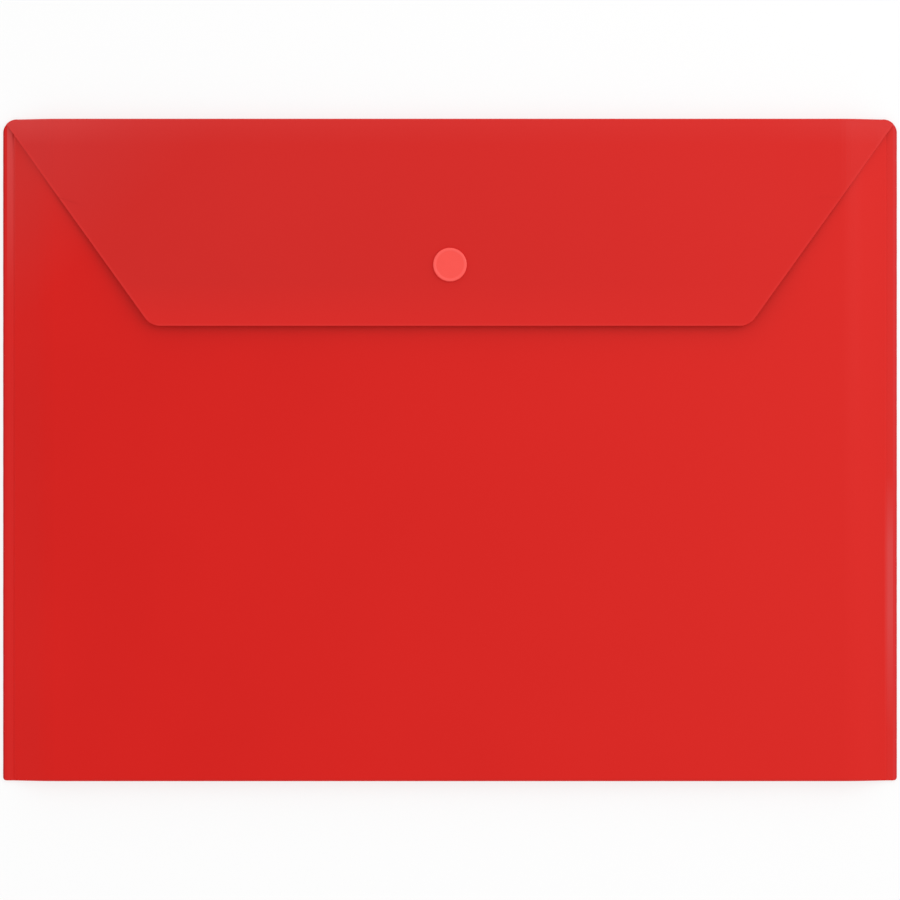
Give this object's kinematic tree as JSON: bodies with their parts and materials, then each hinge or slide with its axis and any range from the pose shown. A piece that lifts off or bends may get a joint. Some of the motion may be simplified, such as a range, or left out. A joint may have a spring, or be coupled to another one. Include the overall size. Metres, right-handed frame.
{
  "type": "document wallet",
  "caption": "Flat red plastic document wallet: a side-welded pocket for loose sheets, with a tapered flap that folds over its front and shuts with a round press stud.",
  "frame": {"origin": "middle of the back face that the wallet lies on, at the bottom of its box", "axes": "+X across the wallet, +Y up the wallet to the fold of the flap, +Z out of the front through the stud cap"},
  "size_m": [0.33, 0.244, 0.0103],
  "materials": {
    "red_sheet": "satin red polypropylene sheet",
    "coral_stud": "moulded coral plastic, smooth"
  },
  "bodies": {
    "pocket": {"back_panel": "red_sheet", "front_panel": "red_sheet", "bottom_strip": "red_sheet", "left_side_shoulder": "red_sheet", "left_side_slope": "red_sheet", "left_weld_band": "red_sheet", "left_weld_bead": "red_sheet", "right_side_shoulder": "red_sheet", "right_side_slope": "red_sheet", "right_weld_band": "red_sheet", "right_weld_bead": "red_sheet", "stud_post": "coral_stud", "stud_back_cap": "coral_stud"},
    "spine": {"spine": "red_sheet"},
    "flap": {"flap": "red_sheet", "stud_cap": "coral_stud", "stud_socket": "coral_stud"}
  },
  "joints": [
    {"name": "lower_crease", "type": "hinge", "parent": "pocket", "child": "spine", "pos_m": [0, 0.12175, 0.00025], "axis": [-1, 0, 0], "range_deg": [0, 88]},
    {"name": "upper_crease", "type": "hinge", "parent": "spine", "child": "flap", "pos_m": [0, 0.12175, 0.0066], "axis": [-1, 0, 0], "range_deg": [0, 88]}
  ],
  "couplings": [
    {"joint": "lower_crease", "follows": "upper_crease", "ratio": 1}
  ]
}
